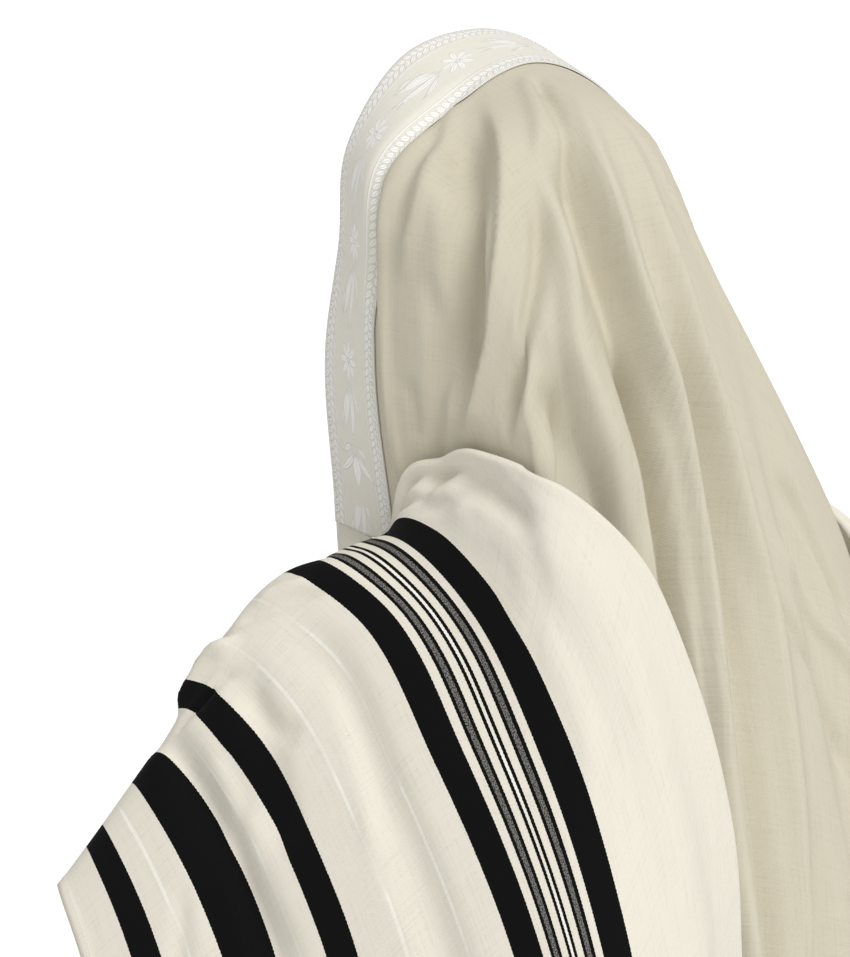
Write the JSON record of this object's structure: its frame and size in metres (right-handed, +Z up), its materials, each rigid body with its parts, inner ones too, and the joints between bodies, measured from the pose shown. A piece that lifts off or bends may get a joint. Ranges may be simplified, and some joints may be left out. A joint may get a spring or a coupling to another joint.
{
  "type": "tallit prayer shawl",
  "caption": "Large white wool prayer shawl worn over the head, with black striped ends over both arms, a brocade neckband and knotted corner fringes.",
  "frame": {"origin": "the crown, on the inside of the cloth where the top of the wearer's head holds it up", "axes": "+Z up, the wearer faces -Y, and the wearer's left is +X"},
  "size_m": [0.8639, 0.5349, 1.8803],
  "materials": {
    "wool_cloth": "fine woven wool, off-white with woven black stripes",
    "brocade_band": "satin brocade, pale grey field with white motifs",
    "fringe_cord": "twisted white wool cord"
  },
  "bodies": {
    "root": {"hood_and_back": "wool_cloth", "left_tuck": "wool_cloth", "left_shoulder_panel": "wool_cloth", "right_tuck": "wool_cloth", "right_shoulder_panel": "wool_cloth", "atarah": "brocade_band", "left_top_corner_patch": "brocade_band", "left_hem_corner_patch": "brocade_band", "right_top_corner_patch": "brocade_band", "right_hem_corner_patch": "brocade_band", "left_top_corner_tzitzit": "fringe_cord", "left_hem_corner_tzitzit": "fringe_cord", "right_top_corner_tzitzit": "fringe_cord", "right_hem_corner_tzitzit": "fringe_cord"}
  },
  "joints": []
}
